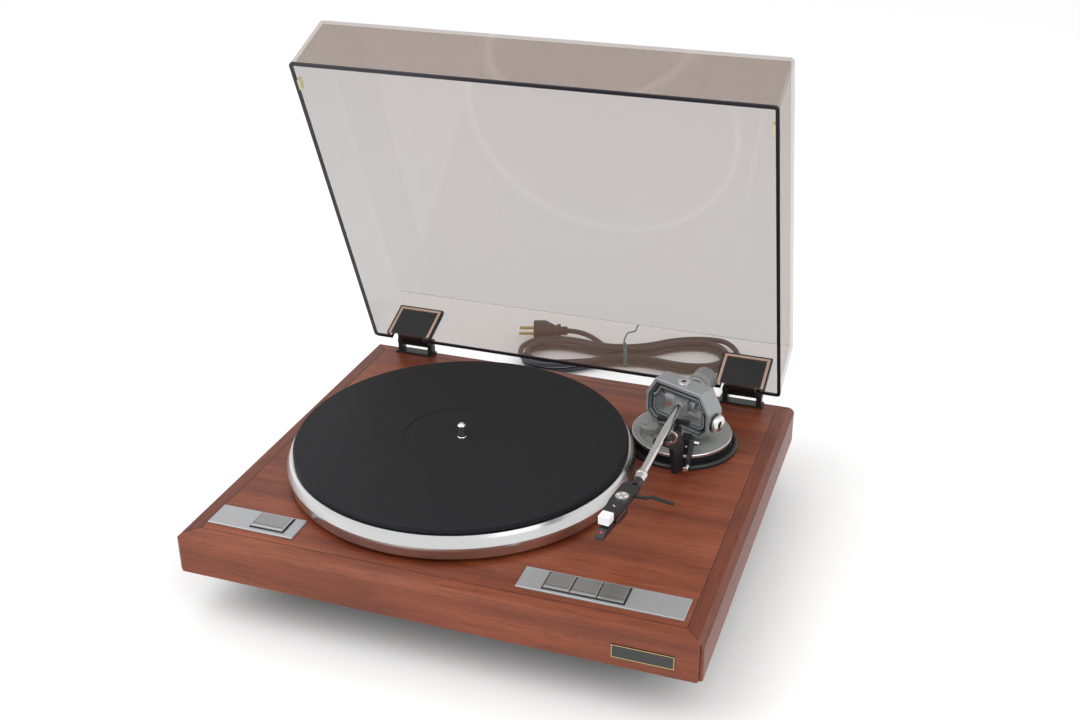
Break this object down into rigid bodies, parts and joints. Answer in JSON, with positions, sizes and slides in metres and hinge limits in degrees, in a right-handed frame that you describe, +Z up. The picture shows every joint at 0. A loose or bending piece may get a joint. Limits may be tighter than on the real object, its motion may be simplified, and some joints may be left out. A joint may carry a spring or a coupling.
{
  "type": "record turntable",
  "caption": "Belt-drive record player: mitred wooden plinth, hinged smoky lid, turned platter with mat, gimbal tone arm, push buttons and a tied mains lead.",
  "frame": {"origin": "on the floor under the feet, at the middle of the box round the player with its lid open, the cords and plug left out", "axes": "+X to the right along the front, +Y towards the back where the lid hinges, +Z up along the spindle"},
  "size_m": [0.44, 0.6391, 0.4349],
  "materials": {
    "mahogany": "satin varnish",
    "mahogany_dark": "satin varnish",
    "black_plastic": "matte",
    "black_gloss": "gloss",
    "grey_plastic": "satin",
    "disc_grey": "satin",
    "aluminium": "brushed",
    "platter_metal": "turned",
    "steel": "brushed",
    "chrome": "polished",
    "brass": "satin",
    "mat_rubber": "matte",
    "pale_rubber": "matte",
    "cord_grey": "satin",
    "tinted_lid": "clear gloss",
    "clear_plastic": "clear",
    "teal_tie": "satin",
    "board_green": "satin"
  },
  "bodies": {
    "plinth": {"front_rail": "mahogany", "right_rail": "mahogany_dark", "rear_rail": "mahogany", "left_rail": "mahogany_dark", "top_panel": "mahogany", "base_tray": "black_plastic", "feet": "black_plastic", "bearing_housing": "brass", "motor_mount": "steel", "motor": "steel", "drive_belt": "mat_rubber", "circuit_board": "board_green", "transformer": "steel", "switch_blocks": "black_plastic", "control_plates": "aluminium", "front_plate": "black_gloss", "arm_base_ring": "black_plastic", "arm_base_disc": "disc_grey", "arm_pillar": "aluminium", "gimbal_frame": "aluminium", "pivot_screws": "steel", "arm_rest": "black_plastic", "lift_post": "black_plastic", "hinge_bases": "black_plastic", "hinge_pins": "steel", "cord_glands": "black_plastic", "mains_hank": "cord_grey", "mains_lead": "cord_grey", "earth_lead": "cord_grey", "earth_spade": "brass", "hank_tie": "teal_tie", "plug_body": "cord_grey", "plug_pins": "brass"},
    "platter": {"spindle": "chrome", "drive_disc": "aluminium", "platter": "platter_metal", "platter_mat": "mat_rubber"},
    "pulley": {"motor_pulley": "brass"},
    "lid": {"lid": "tinted_lid", "hinge_leaves": "black_plastic", "lid_pockets": "clear_plastic", "lid_bumpers": "pale_rubber"},
    "power_button": {"power_button": "grey_plastic"},
    "speed_button_33": {"speed_button_33": "grey_plastic"},
    "speed_button_45": {"speed_button_45": "grey_plastic"},
    "speed_button_78": {"speed_button_78": "grey_plastic"},
    "gimbal_ring": {"gimbal_ring": "aluminium"},
    "arm": {"arm_block": "aluminium", "arm_tube": "chrome", "headshell": "black_plastic", "head_lock": "aluminium", "head_nose": "grey_plastic", "cartridge": "black_gloss", "stylus": "black_plastic"},
    "counterweight": {"counterweight": "steel"},
    "force_dial": {"force_dial": "aluminium"},
    "anti_skate_dial": {"anti_skate_dial": "black_plastic"},
    "rest_clip": {"rest_clip": "chrome"},
    "cue_lever": {"cue_lever": "black_plastic"},
    "lift_bar": {"lift_bar": "black_plastic"}
  },
  "joints": [
    {"name": "lid_hinge", "type": "hinge", "parent": "plinth", "child": "lid", "pos_m": [0, 0.16364, 0.0905], "axis": [1, 0, 0], "range_deg": [0, 68]},
    {"name": "platter_spin", "type": "hinge", "parent": "plinth", "child": "platter", "pos_m": [-0.0396, -0.02896, 0.1019], "axis": [0, 0, 1], "continuous": true},
    {"name": "pulley_spin", "type": "hinge", "parent": "plinth", "child": "pulley", "pos_m": [-0.10748, 0.03892, 0.087], "axis": [0, 0, 1], "continuous": true},
    {"name": "arm_swing", "type": "hinge", "parent": "plinth", "child": "gimbal_ring", "pos_m": [0.1335, 0.07214, 0.12], "axis": [0, 0, -1], "range_deg": [0, 43]},
    {"name": "arm_raise", "type": "hinge", "parent": "gimbal_ring", "child": "arm", "pos_m": [0.1335, 0.07214, 0.12], "axis": [-0.9205, 0.3907, 0], "range_deg": [0, 3.5]},
    {"name": "counterweight_slide", "type": "slide", "parent": "arm", "child": "counterweight", "axis": [0.1736, 0.9848, 0], "range_m": [-0.004, 0.006]},
    {"name": "force_dial_turn", "type": "hinge", "parent": "plinth", "child": "force_dial", "pos_m": [0.16609, 0.05831, 0.111], "axis": [0.9205, -0.3907, 0], "range_deg": [-135, 135]},
    {"name": "anti_skate_turn", "type": "hinge", "parent": "plinth", "child": "anti_skate_dial", "pos_m": [0.106, 0.06064, 0.0933], "axis": [0, 0, 1], "range_deg": [-135, 135]},
    {"name": "rest_clip_turn", "type": "hinge", "parent": "plinth", "child": "rest_clip", "pos_m": [0.1395, -0.00556, 0.1205], "axis": [0, -1, 0], "range_deg": [0, 90]},
    {"name": "cue_lever_turn", "type": "hinge", "parent": "plinth", "child": "cue_lever", "pos_m": [0.152, 0.03314, 0.102], "axis": [-1, 0, 0], "range_deg": [0, 40]},
    {"name": "lift_slide", "type": "slide", "parent": "plinth", "child": "lift_bar", "axis": [0, 0, -1], "range_m": [0, 0.004]},
    {"name": "power_button_press", "type": "slide", "parent": "plinth", "child": "power_button", "axis": [0, 0, -1], "range_m": [0, 0.002], "stiffness_N_per_m": 300},
    {"name": "speed_button_33_press", "type": "slide", "parent": "plinth", "child": "speed_button_33", "axis": [0, 0, -1], "range_m": [0, 0.002], "stiffness_N_per_m": 300},
    {"name": "speed_button_45_press", "type": "slide", "parent": "plinth", "child": "speed_button_45", "axis": [0, 0, -1], "range_m": [0, 0.002], "stiffness_N_per_m": 300},
    {"name": "speed_button_78_press", "type": "slide", "parent": "plinth", "child": "speed_button_78", "axis": [0, 0, -1], "range_m": [0, 0.002], "stiffness_N_per_m": 300}
  ],
  "couplings": [
    {"joint": "pulley_spin", "follows": "platter_spin", "ratio": 12.5},
    {"joint": "lift_slide", "follows": "cue_lever_turn", "m_per_rad": 0.00572}
  ]
}
